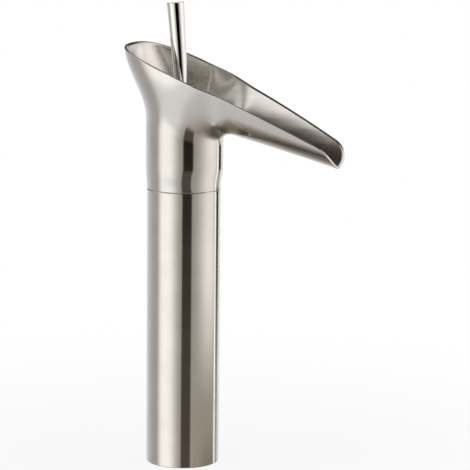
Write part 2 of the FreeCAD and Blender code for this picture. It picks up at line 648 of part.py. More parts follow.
def handle_rod():
    top = HUB_TOP + HANDLE_L
    top_r = HANDLE_TOP_D / 2
    edge_r = top_r - HANDLE_ROUND
    edge_z = top - HANDLE_CROWN
    side_z = edge_z - HANDLE_ROUND
    corner = HANDLE_ROUND * math.sin(math.pi / 4)

    def point(radius, height):
        return FreeCAD.Vector(radius, 0, height)

    bead = point(edge_r + corner, side_z + corner)
    crown_r = (edge_r ** 2 + HANDLE_CROWN ** 2) / (2 * HANDLE_CROWN)
    crown_turn = math.asin(edge_r / crown_r) / 2
    crown = point(crown_r * math.sin(crown_turn), top - crown_r * (1 - math.cos(crown_turn)))
    edges = [
        Part.LineSegment(point(0, HUB_TOP), point(handle_radius(0), HUB_TOP)).toShape(),
        Part.LineSegment(point(handle_radius(0), HUB_TOP), point(top_r, side_z)).toShape(),
        Part.Arc(point(top_r, side_z), bead, point(edge_r, edge_z)).toShape(),
        Part.Arc(point(edge_r, edge_z), crown, point(0, top)).toShape(),
        Part.LineSegment(point(0, top), point(0, HUB_TOP)).toShape(),
    ]
    handle = Part.Face(Part.Wire(edges)).revolve(FreeCAD.Vector(0, 0, 0), Z_AXIS, 360.0)
    handle = handle.cut(rod(TENON_D / 2 + FIT, HUB_TOP - 1, HUB_TOP + TENON_L + TENON_GAP))
    return lean(handle.cut(screw_shape(SCREW_D / 2, 2 * HANDLE_TOP_D)))


def screw_shape(radius, length):
    """Cylinder that starts on the spindle's tenon and runs backwards."""
    start = FreeCAD.Vector(-TENON_D / 2, 0, HUB_TOP + SCREW_RISE)
    return Part.makeCylinder(radius, length, start, FreeCAD.Vector(-1, 0, 0))


def handle_screw():
    length = handle_radius(SCREW_RISE) - TENON_D / 2 - FIT
    screw = screw_shape(SCREW_D / 2 - FIT, length)
    hex_start = FreeCAD.Vector(-TENON_D / 2 - length / 2, 0, HUB_TOP + SCREW_RISE)
    socket = Part.makeCylinder(SCREW_D / 4, length, hex_start, FreeCAD.Vector(-1, 0, 0))
    return lean(screw.cut(socket))


PARTS = [
    column_tube, base_plug, deck_gasket, column_coupling, joint_seal, spout_body,
    valve_core, neck_seal, flange_seal, core_nut,
    cartridge_base, port_seals, fixed_disc, moving_disc, disc_carrier, cartridge_housing,
    turret, turret_seal, pivot_pin, cartridge_nut, dome,
    lever_spindle, lever_cover, handle_rod, handle_screw,
]


def main():
    os.makedirs("parts", exist_ok=True)
    for make in PARTS:
        shape = make()
        name = make.__name__
        shape.exportStep("parts/" + name + ".step")
        box = shape.BoundBox
        print(name, "solids", len(shape.Solids), "valid", shape.isValid(), "volume", round(shape.Volume, 1),
              "box", [round(v, 2) for v in (box.XMin, box.YMin, box.ZMin, box.XMax, box.YMax, box.ZMax)])


main()
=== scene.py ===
"""Looks of a tall waterfall basin faucet, built round its solids.

Metres, +Z up, +X the way the water runs.
"""

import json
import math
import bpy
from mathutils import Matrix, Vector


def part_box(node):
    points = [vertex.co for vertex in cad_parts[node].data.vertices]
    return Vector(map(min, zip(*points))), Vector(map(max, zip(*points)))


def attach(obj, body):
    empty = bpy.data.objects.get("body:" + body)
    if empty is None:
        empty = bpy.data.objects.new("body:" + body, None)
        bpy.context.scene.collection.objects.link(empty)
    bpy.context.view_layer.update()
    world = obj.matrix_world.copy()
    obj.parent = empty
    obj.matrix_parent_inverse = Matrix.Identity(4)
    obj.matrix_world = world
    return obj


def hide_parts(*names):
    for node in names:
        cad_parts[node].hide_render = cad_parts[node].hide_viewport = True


bl_info = {
    "name": "Waterfall Faucet",
    "version": (1, 0, 0),
    "blender": (4, 5, 0),
    "location": "3D View > Sidebar > Faucet",
    "description": "Skins, finishes and a small studio for a tall single-lever waterfall faucet",
    "category": "Object",
}

import bpy
import numpy as np
from bpy.props import BoolProperty, FloatProperty, FloatVectorProperty, IntProperty, PointerProperty
from mathutils import Matrix, Vector

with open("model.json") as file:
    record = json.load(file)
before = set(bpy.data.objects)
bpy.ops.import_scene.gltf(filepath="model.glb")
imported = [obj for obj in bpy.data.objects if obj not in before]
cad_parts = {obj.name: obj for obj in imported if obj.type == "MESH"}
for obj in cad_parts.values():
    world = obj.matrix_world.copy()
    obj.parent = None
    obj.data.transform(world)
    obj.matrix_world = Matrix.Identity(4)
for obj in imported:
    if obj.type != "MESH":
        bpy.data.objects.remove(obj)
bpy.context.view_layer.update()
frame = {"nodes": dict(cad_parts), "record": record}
PICTURE_SIDE, FOCAL_LENGTH = 470, 2723.5  # pixels
NECK_ROOM = 0.00005  # between the neck and what goes round it, in radius
LEADS = (1.5, 2.6)  # where the points beside a rounded corner lie, in sizes of the round


# ---- Sizes and colours that a user may change ------------------------------------------------
def length(name, description, default):
    return FloatProperty(name=name, description=description, default=default, unit="LENGTH", precision=5)


def number(name, description, default):
    return FloatProperty(name=name, description=description, default=default, precision=4)


def angle(name, description, degrees):
    return FloatProperty(name=name, description=description, default=math.radians(degrees), subtype="ANGLE")


def colour(name, description, default):
    return FloatVectorProperty(name=name, description=description, default=default, size=3,
                               subtype="COLOR", min=0, max=1)


def count(name, description, default):
    return IntProperty(name=name, description=description, default=default, min=1)


class FaucetHeadSizes(bpy.types.PropertyGroup):
    """Form of the head casting."""
    joint_height: length("Joint height", "Height of the line where column and head meet",
                         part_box("column_tube")[1].z)
    column_radius: length("Column radius", "Outside radius of the column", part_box("column_tube")[1].x)
    collar_swell: length("Collar swell", "Growth of the collar's radius above the joint line", 0.00115)
    collar_lean: length("Collar lean", "Forward shift of the collar's centre above the joint line", 0.0005)
    swell_height: length("Swell height", "Height over which the collar swells", 0.016)
    flare_height: length("Flare height", "Height on the axis at which the flare starts", 0.2305)
    rim_height: length("Rim height", "Height of the rim on the axis", 0.273)
    rim_slope: number("Rim slope", "Fall of the rim towards the mouth, on the axis", 0.37)
    rim_bend: number("Rim bend", "Steepening of the rim per metre", 0.5)
    bowl_back: length("Bowl back", "Reach of the rim behind the axis", 0.0403)
    bowl_side: length("Bowl side", "Half width of the bowl at the rim", 0.0323)
    bowl_shift: length("Bowl shift", "How far the bowl's widest place lies in front of the axis", 0.005)
    bowl_fullness: number("Bowl fullness", "Added to the ellipse exponent 2 at the rim", 0.6)
    reach: length("Reach", "From the axis to the tip of the mouth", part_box("spout_body")[1].x)
    keel_tip: length("Keel tip", "Height of the underside at the mouth", 0.2119)
    keel_slope: number("Keel slope", "Rise of the underside back from the mouth", 0.235)
    keel_bend: number("Keel bend", "Flattening of that rise per metre", 0.2)
    trough_side: length("Trough side", "Half width of the trough's rim, carried back to the axis", 0.0322)
    trough_taper: number("Trough taper", "Narrowing of that half width", 0.075)
    trough_bend: number("Trough bend", "Growth of the narrowing per metre", 0.6)
    trough_round: number("Trough round", "Exponent of the trough's U section", 1.8)
    blend: length("Blend", "Softness of the meeting of bowl and trough", 0.011)
    lip_radius: length("Lip radius", "Radius of the mouth's lip, seen from the side", 0.0165)
    wall: length("Wall", "Wall of the bowl and the trough", 0.002)
    edge_round: length("Edge round", "Rounding of the rim's edges", 0.0009)
    bevel: length("Joint bevel", "Bevel at the joint line", 0.0004)
    floor_height: length("Floor height", "Top of the bowl's floor", 0.221)
    floor_depth: length("Floor thickness", "Thickness of the bowl's floor", 0.008)
    collar_bore: length("Collar bore", "Radius of the bore in the collar", 0.0234)
    outlets: count("Outlets", "Number of water outlets in the floor", 10)
    outlet_radius: length("Outlet radius", "Radius of one water outlet", 0.0014)
    outlet_ring: length("Outlet ring", "Radius of the ring of outlets", 0.0202)


class FaucetLeverSizes(bpy.types.PropertyGroup):
    """Form of the lever, its cover and the dome below it."""
    pivot_height: length("Pivot height", "Height of the lever's pivot", 0.233)
    lean: angle("Lean", "Backward lean of the closed lever", 4.9)
    handle_length: length("Handle length", "Length of the handle rod", 0.06379)
    handle_foot: length("Handle foot", "Radius of the handle at its lower end", 0.0042)
    handle_top: length("Handle top", "Radius of the handle at its upper end", 0.00593)
    handle_round: length("Handle round", "Round on the handle's top edge", 0.0005)
    handle_crown: length("Handle crown", "Crown of the handle's top face", 0.00035)
    cover_radius: length("Cover radius", "Outside radius of the cover that swings with the lever", 0.0185)
    cover_wall: length("Cover wall", "Wall of that cover", 0.0012)
    cover_angle: angle("Cover angle", "From the lever's axis to the cover's edge", 50.0)
    hub_rise: length("Hub rise", "Height of the hub over the cover", 0.001)
    dome_radius: length("Dome radius", "Outside radius of the dome", 0.017)
    dome_wall: length("Dome wall", "Wall of the dome's round top", 0.0018)
    dome_mouth: length("Dome mouth", "Radius of the dome's opening", 0.0091)
    neck_radius: length("Neck radius", "Radius of the neck that carries dome and ring nut", 0.0144)
    nut_radius: length("Nut radius", "Outside radius of the ring nut", 0.018)
    nut_height: length("Nut height", "Height of the ring nut", 0.004)
    notch: length("Notch", "Width of the ring nut's notches", 0.003)


class FaucetFinish(bpy.types.PropertyGroup):
    """Colours and finishes."""
    nickel: colour("Brushed nickel", "Colour of the column and the head", (0.70, 0.672, 0.625))
    nickel_satin: colour("Satin nickel", "Colour of the dome and the cover", (0.67, 0.64, 0.59))
    nickel_polished: colour("Polished nickel", "Colour of the handle", (0.80, 0.785, 0.76))
    brass: colour("Brass", "Colour of the unplated brass inside", (0.72, 0.54, 0.27))
    rubber: colour("Rubber", "Colour of the seals", (0.035, 0.035, 0.037))
    acetal: colour("Acetal", "Colour of the cartridge's mouldings", (0.84, 0.84, 0.81))
    ceramic: colour("Ceramic", "Colour of the ceramic discs", (0.90, 0.88, 0.83))
    stainless: colour("Stainless steel", "Colour of the spindle and the pin", (0.58, 0.58, 0.57))
    brushing: length("Brushing", "Distance between the brush marks", 0.00035)
    dullness: FloatProperty(name="Dullness", description="Roughness of the brushed nickel", default=0.11,
                            min=0, max=1, subtype="FACTOR")


class FaucetStudio(bpy.types.PropertyGroup):
    """Camera, floor and light."""
    azimuth: angle("Azimuth", "How far the camera is turned round from the side", 27.0)
    pitch: angle("Pitch", "How far the camera looks down", 10.40)
    roll: angle("Roll", "Turn of the picture", 0.493)
    distance: length("Distance", "From the camera to its target", 1.8537)
    target_across: length("Target across", "Target to the right of the axis", 0.035)
    target_height: length("Target height", "Height of the target", 0.1576)
    focal_widths: number("Focal length", "Focal length in picture widths", FOCAL_LENGTH / PICTURE_SIDE)
    floor_colour: colour("Floor", "Colour of the floor", (0.90, 0.90, 0.89))
    show_floor: BoolProperty(name="Floor", description="Whether the floor is made", default=True)


# ---- Nodes written as sums -------------------------------------------------------------------
def operator_pair(operation):
    """A Math node as an operator on values, and the operator's reflected form."""
    def plain(self, other):
        return self.net.add("ShaderNodeMath", {"operation": operation}, self, other)

    def reflected(self, other):
        return self.net.add("ShaderNodeMath", {"operation": operation}, other, self)

    return plain, reflected


class Value:
    """A number carried by a node socket. Sums and products of values add Math nodes."""
    __add__, __radd__ = operator_pair("ADD")
    __sub__, __rsub__ = operator_pair("SUBTRACT")
    __mul__, __rmul__ = operator_pair("MULTIPLY")
    __truediv__, __rtruediv__ = operator_pair("DIVIDE")
    __mod__, __rmod__ = operator_pair("FLOORED_MODULO")

    def __init__(self, net, socket):
        self.net = net
        self.socket = socket

    def _math(self, operation, *terms):
        return self.net.add("ShaderNodeMath", {"operation": operation}, self, *terms)

    def floor(self):
        return self._math("FLOOR")

    def cos(self):
        return self._math("COSINE")

    def sin(self):
        return self._math("SINE")

    def bearing(self, ahead):
        """Angle of the point that lies this far across and that far ahead."""
        return self._math("ARCTAN2", ahead)


class Net:
    """A node tree, with one method that adds any node."""

    def __init__(self, tree):
        self.tree = tree
        tree.nodes.clear()

    def node(self, kind, settings=None, *terms, **named):
        """Adds a node, sets it up, then fills its sockets in order or by name."""
        node = self.tree.nodes.new(kind)
        for key, value in (settings or {}).items():
            setattr(node, key, value)
        shown = [socket for socket in node.inputs if socket.enabled]
        pairs = list(zip(shown, terms))
        pairs += [(self._find(node, key), term) for key, term in named.items()]
        for socket, term in pairs:
            self._fill(socket, term)
        return node

    def add(self, kind, settings=None, *terms, out=None, **named):
        """Adds a node as above and gives its output as a value."""
        node = self.node(kind, settings, *terms, **named)
        shown = [socket for socket in node.outputs if socket.enabled]
        return Value(self, node.outputs[out] if out else shown[0])

    @staticmethod
    def _find(node, key):
        wanted = key.replace("_", " ").lower()
        for socket in node.inputs:
            if socket.enabled and socket.name.lower() == wanted:
                return socket
        raise KeyError(f"{node.bl_idname} has no socket {wanted}")

    def _fill(self, socket, term):
        if term is None:
            return
        if isinstance(term, Value):
            self.tree.links.new(term.socket, socket)
        elif socket.type == "RGBA":
            socket.default_value = (*term, 1.0)[:4]
        else:
            socket.default_value = term

    def mix(self, factor, first, second):
        """Mixes two colours."""
        return self.add("ShaderNodeMix", {"data_type": "RGBA"}, factor, first, second)

    def split(self, vector):
        """The three parts of a vector."""
        return [Value(self, part) for part in self.node("ShaderNodeSeparateXYZ", None, vector).outputs]

    def vector(self, x, y, z):
        return self.add("ShaderNodeCombineXYZ", None, x, y, z)

    def scaled(self, colour, level):
        """A colour times a value."""
        return self.add("ShaderNodeVectorMath", {"operation": "SCALE"}, colour, Scale=level)

    def rise(self, value, start, end, low=0.0, high=1.0):
        """Smooth step of a value from low at start to high at end."""
        settings = {"interpolation_type": "SMOOTHSTEP", "clamp": True}
        return self.add("ShaderNodeMapRange", settings, value, start, end, low, high)


# ---- Materials -------------------------------------------------------------------------------
def material(name):
    made = bpy.data.materials.new(name)
    made.use_nodes = True
    return made, Net(made.node_tree)


def finish_material(net, metallic, tint, roughness, normal):
    shader = net.add("ShaderNodeBsdfPrincipled", None, Base_Color=tint, Metallic=metallic,
                     Roughness=roughness, Normal=normal)
    net.node("ShaderNodeOutputMaterial", None, shader)


def object_place(net, scale=(1.0, 1.0, 1.0)):
    place = net.add("ShaderNodeTexCoord", None, out="Object")
    return net.add("ShaderNodeMapping", None, place, Scale=scale)


def noise(net, place, scale, detail=2.0, rough=0.5):
    return net.add("ShaderNodeTexNoise", None, place, Scale=scale, Detail=detail, Roughness=rough, out=0)


def bump(net, height, distance, strength=1.0):
    return net.add("ShaderNodeBump", None, Height=height, Distance=distance, Strength=strength)


def toned(shade, factor):
    """A shade darkened or lightened."""
    return tuple(min(part * factor, 1.0) for part in shade)


def patches(net, mask, shade, dark, light):
    """A shade, darker where the mask is 0 and lighter where it is 1."""
    return net.mix(mask, toned(shade, dark), toned(shade, light))


def brushed_metal(name, shade, dullness, spacing, depth):
    """Metal brushed round the Z axis: long level marks, cloudy patches, a few deeper scratches.

    Where a piece has the attribute "inside", as in the bowl and the trough, it is duller and wavier, as hand
    polishing leaves a hollow, and streaks of painted shade darken its colour in that hollow.
    """
    made, net = material(name)
    inside = net.add("ShaderNodeAttribute", {"attribute_name": "inside"}, out="Fac")
    marks = noise(net, object_place(net, (0.06, 0.06, 1.0)), 1 / spacing, 4.0, 0.6)
    clouds = noise(net, object_place(net), 38.0, 3.0, 0.55)
    wipes = noise(net, object_place(net, (1.0, 1.0, 0.12)), 260.0, 3.0, 0.6)
    scratches = net.rise(noise(net, object_place(net, (0.03, 0.03, 1.0)), 0.9 / spacing, 1.0), 0.7, 0.8)
    streaks_and_painted_shade = noise(net, object_place(net, (0.35, 1.0, 1.0)), 130.0, 3.0, 0.55)
    waves = noise(net, object_place(net, (0.5, 1.0, 0.8)), 42.0, 2.0, 0.5)
    tint = patches(net, net.rise(clouds, 0.3, 0.7), shade, 0.95, 1.03)
    # painted shade: streaks darken the colour on the inner face of the bowl and the trough
    tint = net.mix(inside * net.rise(streaks_and_painted_shade, 0.35, 0.75) * 0.22, tint, toned(shade, 0.62))
    roughness = dullness + (marks - 0.5) * 0.05 + (clouds - 0.5) * 0.05
    roughness = roughness + (wipes - 0.5) * 0.03 + scratches * 0.05
    roughness = roughness + inside * (0.10 + (streaks_and_painted_shade - 0.5) * 0.12)
    wave_height = 0.00035
    relief = (marks * 0.7 + wipes * 0.3 - scratches * 0.6) * (depth / wave_height)
    relief = relief + inside * (waves + streaks_and_painted_shade * 0.22)
    finish_material(net, 1.0, tint, roughness, bump(net, relief, wave_height))
    return made


def polished_metal(name, shade):
    """Mirror plate with faint haze and fine hairlines."""
    made, net = material(name)
    haze = noise(net, object_place(net), 90.0, 3.0)
    hairlines = noise(net, object_place(net, (0.08, 0.08, 1.0)), 1500.0, 2.0)
    tint = patches(net, haze, shade, 0.97, 1.02)
    roughness = 0.03 + haze * 0.03 + hairlines * 0.02
    finish_material(net, 1.0, tint, roughness, bump(net, hairlines, 0.000001, 0.4))
    return made


def machined_metal(name, shade, dullness):
    """Turned metal: rings of the cutting tool round Z, with dull patches."""
    made, net = material(name)
    place = net.add("ShaderNodeTexCoord", None, out="Object")
    rings = net.add("ShaderNodeTexWave", {"wave_type": "RINGS", "rings_direction": "Z"}, place,
                    Scale=900.0, Distortion=0.6, Detail=2.0, out=1)
    clouds = noise(net, place, 160.0, 4.0, 0.6)
    tint = patches(net, net.rise(clouds, 0.3, 0.7), shade, 0.82, 1.05)
    roughness = dullness + rings * 0.08 + (clouds - 0.5) * 0.16
    finish_material(net, 1.0, tint, roughness, bump(net, rings, 0.00001, 0.5))
    return made


def moulded(name, shade, dullness, grain, depth, dark):
    """Plastic, rubber or ceramic with a fine grain and slightly uneven colour."""
    made, net = material(name)
    place = object_place(net)
    fine = noise(net, place, grain, 3.0, 0.65)
    broad = noise(net, place, grain / 18, 2.0)
    tint = patches(net, net.rise(broad, 0.3, 0.7), shade, dark, 2.0 - dark)
    roughness = dullness + (fine - 0.5) * 0.14 + (broad - 0.5) * 0.08
    finish_material(net, 0.0, tint, roughness, bump(net, fine, depth, 0.7))
    return made


def finishes(scene):
    """The faucet's materials by their slot names, made once."""
    wanted = scene.faucet_finish
    fine = wanted.brushing * 0.8
    makers = {
        "brushed_nickel": lambda n: brushed_metal(n, wanted.nickel, wanted.dullness, wanted.brushing, 2.4e-6),
        "satin_nickel": lambda n: brushed_metal(n, wanted.nickel_satin, 0.24, fine, 3.6e-6),
        "polished_nickel": lambda n: polished_metal(n, wanted.nickel_polished),
        "brass": lambda n: machined_metal(n, wanted.brass, 0.22),
        "stainless": lambda n: machined_metal(n, wanted.stainless, 0.20),
        "rubber": lambda n: moulded(n, wanted.rubber, 0.62, 4200.0, 0.00003, 0.8),
        "acetal": lambda n: moulded(n, wanted.acetal, 0.38, 2600.0, 0.00001, 0.97),
        "ceramic": lambda n: moulded(n, wanted.ceramic, 0.16, 5200.0, 0.000004, 0.98),
    }
    made = {}
    for slot_name, make in makers.items():
        name = slot_name.replace("_", " ") + " finish"
        made[slot_name] = bpy.data.materials.get(name) or make(name)
    return made


# ---- Meshes ----------------------------------------------------------------------------------
def mesh_object(name, points, faces):
    mesh = bpy.data.meshes.new(name)
    mesh.from_pydata([tuple(p) for p in points], [], faces)
    mesh.validate()
    made = bpy.data.objects.new(name, mesh)
    bpy.context.scene.collection.objects.link(made)
    return made


def grid_faces(rows, columns, start=0, closed_rows=False, closed_columns=False):
    """Quads between the points of a grid that is listed row by row."""
    faces = []
    for row in range(rows if closed_rows else rows - 1):
        here = start + row * columns
        there = start + (row + 1) % rows * columns
        for k in range(columns if closed_columns else columns - 1):
            m = (k + 1) % columns
            faces.append((here + k, there + k, there + m, here + m))
    return faces


def shade_smooth(mesh):
    mesh.polygons.foreach_set("use_smooth", [True] * len(mesh.polygons))
    mesh.update()


def settle(made, body, slot_name, *nodes):
    """Turns a piece's modifiers into a plain mesh, gives it its finish, hangs it under its body's empty and
    hides the solids it stands for.
    """
    if made.modifiers:
        evaluated = made.evaluated_get(bpy.context.evaluated_depsgraph_get())
        plain = bpy.data.meshes.new_from_object(evaluated)
        made.modifiers.clear()
        made.data = plain
    made.data.name = made.name
    made.data.materials.clear()
    made.data.materials.append(finishes(bpy.context.scene)[slot_name])
    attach(made, body)
    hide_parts(*nodes)


# ---- Turned pieces, by Geometry Nodes --------------------------------------------------------
def new_group(name, inputs):
    """A geometry tree with named inputs; gives the net and its inputs as values."""
    tree = bpy.data.node_groups.new(name, "GeometryNodeTree")
    net = Net(tree)
    tree.interface.new_socket("Geometry", in_out="OUTPUT", socket_type="NodeSocketGeometry")
    tree.interface.new_socket("Geometry", in_out="INPUT", socket_type="NodeSocketGeometry")
    for socket_name, kind in inputs:
        tree.interface.new_socket(socket_name, in_out="INPUT", socket_type="NodeSocket" + kind)
    node = tree.nodes.new("NodeGroupInput")
    return net, [Value(net, socket) for socket in node.outputs[:-1]]


def end_group(net, geometry, finish):
    """Realize Instances and Set Material, then the group's output."""
    realized = net.add("GeometryNodeRealizeInstances", None, geometry)
    coloured = net.add("GeometryNodeSetMaterial", None, realized, Material=finish)
    net.node("NodeGroupOutput", None, coloured)
    return net.tree


def turned_group():
    """Turns a profile of (radius, 0, height) points round Z, then leans it about Y over a pivot."""
    name = "turned piece"
    if name in bpy.data.node_groups:
        return bpy.data.node_groups[name]
    net, (profile, segments, lean, lift, finish) = new_group(
        name, [("Segments", "Int"), ("Lean", "Float"), ("Pivot Height", "Float"), ("Material", "Material")])
    points = net.add("GeometryNodeAttributeDomainSize", {"component": "MESH"}, profile)
    grid = net.add("GeometryNodeMeshGrid", None, 1.0, 1.0, segments + 1, points)
    index = net.add("GeometryNodeInputIndex")
    along = index % points
    turn = (index / points).floor() * (2 * math.pi) / segments
    place = net.add("GeometryNodeInputPosition")
    kinds = {"data_type": "FLOAT_VECTOR", "domain": "POINT"}
    radius, _, height = net.split(net.add("GeometryNodeSampleIndex", kinds, profile, place, along))
    spread = net.vector(radius * turn.cos(), radius * turn.sin(), height)
    surface = net.add("GeometryNodeSetPosition", None, grid, Position=spread)
    closed = net.add("GeometryNodeMergeByDistance", None, surface, Distance=2e-6)
    smooth = net.add("GeometryNodeSetShadeSmooth", None, closed)
    leaned = net.add("GeometryNodeTransform", None, smooth, Translation=net.vector(0.0, 0.0, lift),
                     Rotation=net.vector(0.0, lean * -1.0, 0.0))
    return end_group(net, leaned, finish)


def drilled_group():
    """Cuts a ring of equal holes or notches from a piece."""
    name = "drilled ring"
    if name in bpy.data.node_groups:
        return bpy.data.node_groups[name]
    net, (piece, copies, ring, first_turn, height, cutter, finish) = new_group(
        name, [("Copies", "Int"), ("Ring Radius", "Float"), ("First Turn", "Float"), ("Height", "Float"),
               ("Cutter", "Object"), ("Material", "Material")])
    circle = net.add("GeometryNodeMeshCircle", None, copies, ring)
    places = net.add("GeometryNodeTransform", None, circle, Translation=net.vector(0.0, 0.0, height),
                     Rotation=net.vector(0.0, 0.0, first_turn))
    x, y, _ = net.split(net.add("GeometryNodeInputPosition"))
    facing = net.vector(0.0, 0.0, y.bearing(x))
    shape = net.add("GeometryNodeObjectInfo", None, cutter, out="Geometry")
    spread = net.add("GeometryNodeInstanceOnPoints", None, places, Instance=shape, Rotation=facing)
    cutters = net.add("GeometryNodeRealizeInstances", None, spread)
    cut = net.add("GeometryNodeMeshBoolean", {"operation": "DIFFERENCE", "solver": "EXACT"}, piece, cutters)
    return end_group(net, cut, finish)


def use_group(made, group, **values):
    """Adds a Geometry Nodes modifier and sets its inputs by their identifiers."""
    modifier = made.modifiers.new(group.name, "NODES")
    modifier.node_group = group
    for socket in group.interface.items_tree:
        key = socket.name.replace(" ", "_").lower()
        if socket.in_out == "INPUT" and key in values:
            modifier[socket.identifier] = values[key]


def rounded(corners, steps):
    """A closed profile with its corners rounded. A corner is (radius, height, round)."""
    total = len(corners)
    points = []
    for index, corner in enumerate(corners):
        here, size = np.array(corner[:2]), corner[2]
        before = np.array(corners[index - 1][:2]) - here
        after = np.array(corners[(index + 1) % total][:2]) - here
        start = before / np.linalg.norm(before)
        end = after / np.linalg.norm(after)
        for lead in reversed(LEADS):
            if lead * size < 0.5 * np.linalg.norm(before):
                points.append(here + start * size * lead)
        for step in range(steps + 1):
            t = step / steps
            points.append(here + start * size * (1 - t) ** 2 + end * size * t * t)
        for lead in LEADS:
            if lead * size < 0.5 * np.linalg.norm(after):
                points.append(here + end * size * lead)
    points.append(points[0])
    return points


def arc(centre, radius, start, end, steps):
    """Profile points on an arc round a point of the axis, angles in degrees from the axis."""
    points = []
    for step in range(steps + 1):
        turn = math.radians(start + (end - start) * step / steps)
        points.append((radius * math.sin(turn), centre + radius * math.cos(turn)))
    return points


def turned(name, profile, segments, lean=0.0, pivot=0.0):
    """A piece turned round Z from profile points, wound so that its faces point outwards."""
    area = sum(a[0] * b[1] - b[0] * a[1] for a, b in zip(profile, list(profile[1:]) + [profile[0]]))
    ordered = profile if area > 0 else profile[::-1]
    made = mesh_object(name, [(p[0], 0.0, p[1]) for p in ordered], [])
    use_group(made, turned_group(), segments=segments, lean=lean, pivot_height=pivot)
    return made


# ---- The head's skin -------------------------------------------------------------------------
class HeadForm:
    """The head's skin, a soft union of bowl and trough.

    A form is negative inside, and outside it is near the distance to the form.
    """
    stride = 0.002  # step out along a ray until the skin is passed
    strides = 80
    halvings = 26  # of that step, to settle on the skin
    spare_height = 0.006  # how far above the rim the search for the edge goes
    edge_halvings = 24  # of one rung of that search, to settle on the edge

    def __init__(self, sizes):
        self.s = sizes
        self.lip_x = sizes.reach - sizes.lip_radius
        x = self.lip_x
        for _ in range(30):  # settles where the rim runs into the lip's arc
            slope = -sizes.rim_slope - 2 * sizes.rim_bend * x
            x = self.lip_x - sizes.lip_radius * slope / math.hypot(1, slope)
        self.tangent_x = x
        self.lip_z = self.rim(x) - sizes.lip_radius / math.hypot(1, slope)

    def rim(self, x):
        return self.s.rim_height - self.s.rim_slope * x - self.s.rim_bend * x * x

    def keel(self, x):
        back = self.s.reach - x
        return self.s.keel_tip + self.s.keel_slope * back - self.s.keel_bend * back * back

    @staticmethod
    def ease(t):
        t = np.clip(t, 0.0, 1.0)
        return t * t * (3 - 2 * t)

    @staticmethod
    def soft_min(a, b, softness):
        near = np.maximum(softness - np.abs(a - b), 0.0) / softness
        return np.minimum(a, b) - near * near * softness / 4

    def bowl(self, x, y, z):
        s = self.s
        level = z + s.rim_height - self.rim(x)
        flare = self.ease((level - s.flare_height) / (s.rim_height - s.flare_height))
        swell = self.ease((z - s.joint_height) / s.swell_height)
        collar = s.column_radius + s.collar_swell * swell
        side = collar + (s.bowl_side - collar) * flare
        back = collar + (s.bowl_back + s.bowl_shift - collar) * flare
        centre = s.collar_lean * swell * (1 - flare) + s.bowl_shift * flare
        along = np.where(x < centre, back, side)
        power = 2 + s.bowl_fullness * flare
        ratio = (np.abs(x - centre) / along) ** power + (np.abs(y) / side) ** power
        return (ratio ** (1 / power) - 1) * np.sqrt(along * side)

    def trough(self, x, y, z):
        s = self.s
        fade = self.ease((x + s.bowl_side) / (s.bowl_side + s.column_radius))
        least_half, least_depth = 0.0005, 0.004
        half = np.maximum((s.trough_side - s.trough_taper * x - s.trough_bend * x * x) * fade, least_half)
        depth = np.maximum(self.rim(x) - self.keel(x), least_depth)
        across = np.abs(y) / half
        value = across ** s.trough_round - (z - self.keel(x)) / depth
        slope_y = s.trough_round * np.maximum(across, 1e-9) ** (s.trough_round - 1) / half
        return np.maximum(value / np.hypot(slope_y, 1 / depth), -s.column_radius / 2 - x)

    def skin(self, x, y, z):
        union = self.soft_min(self.bowl(x, y, z), self.trough(x, y, z), self.s.blend)
        half_lip = self.s.lip_radius / 2
        return -self.soft_min(-union, self.s.reach + half_lip - x, half_lip)

    def trim(self, x, z):
        """Negative under the rim line and behind the lip's arc."""
        past_arc = np.hypot(x - self.lip_x, z - self.lip_z) - self.s.lip_radius
        past_lip = np.where(z > self.lip_z, past_arc, x - self.s.reach)
        return np.where(x > self.tangent_x, past_lip, z - self.rim(x))

    def trace(self, angles, heights, tilts, inset):
        """Points of the skin, inset by a wall, along rays from the axis on tilted planes."""
        across, along = np.sin(angles), np.cos(angles)
        shape = np.broadcast(across, heights).shape
        across, along, heights, tilts = (np.broadcast_to(a, shape) for a in (across, along, heights, tilts))

        def value(radius):
            return self.skin(radius * along, radius * across, heights - tilts * radius * along) + inset

        outside = np.full(shape, self.s.column_radius / 2)
        for _ in range(self.strides):
            short = value(outside) < 0
            if not short.any():
                break
            outside = outside + self.stride * short
        inside = outside - self.stride
        for _ in range(self.halvings):
            middle = (inside + outside) / 2
            short = value(middle) < 0
            inside = np.where(short, middle, inside)
            outside = np.where(short, outside, middle)
        x = inside * along
        return np.stack([x, inside * across, heights - tilts * x], -1)

    def paths(self, angles, bottom, full_tilt, inset, steps, edge):
        """For each ray angle, points up the skin from a level to the trimmed edge, evenly spaced."""
        limit = self.s.rim_slope + self.s.rim_bend * self.s.reach / 2
        column = angles[:, None]

        def at(heights):
            tilts = limit * self.ease((heights - bottom) / (full_tilt - bottom))
            return self.trace(column, heights, tilts, inset)

        def trimmed(heights):
            reached = at(heights)
            return self.trim(reached[..., 0], reached[..., 2]) > 0

        ladder = np.linspace(bottom, self.s.rim_height + self.spare_height, 160)
        first = np.argmax(trimmed(ladder[None, :]), axis=1)
        low, high = ladder[np.maximum(first - 1, 0)][:, None], ladder[first][:, None]
        for _ in range(self.edge_halvings):
            middle = (low + high) / 2
            over = trimmed(middle)
            high = np.where(over, middle, high)
            low = np.where(over, low, middle)
        levels = bottom + (low - bottom) * np.linspace(0.0, 1.0, 260)[None, :]
        legs = np.linalg.norm(np.diff(at(levels), axis=1), axis=2)
        run = np.concatenate([np.zeros((len(angles), 1)), np.cumsum(legs, 1)], 1)
        wanted = np.empty((len(angles), steps + 1))
        near, far = LEADS
        for row in range(len(angles)):
            whole = run[row, -1]
            even = np.linspace(0.0, whole - far * edge, steps - 2)
            stops = np.concatenate([even, [whole - near * edge, whole - edge, whole]])
            wanted[row] = np.interp(stops, run[row], levels[row])
        return at(wanted)


def bend(start, corner, end, steps):
    """Points of a rounded corner between two points, without the end points."""
    t = (np.arange(1, steps) / steps)[None, :, None]
    return start * (1 - t) ** 2 + corner * 2 * t * (1 - t) + end * t * t


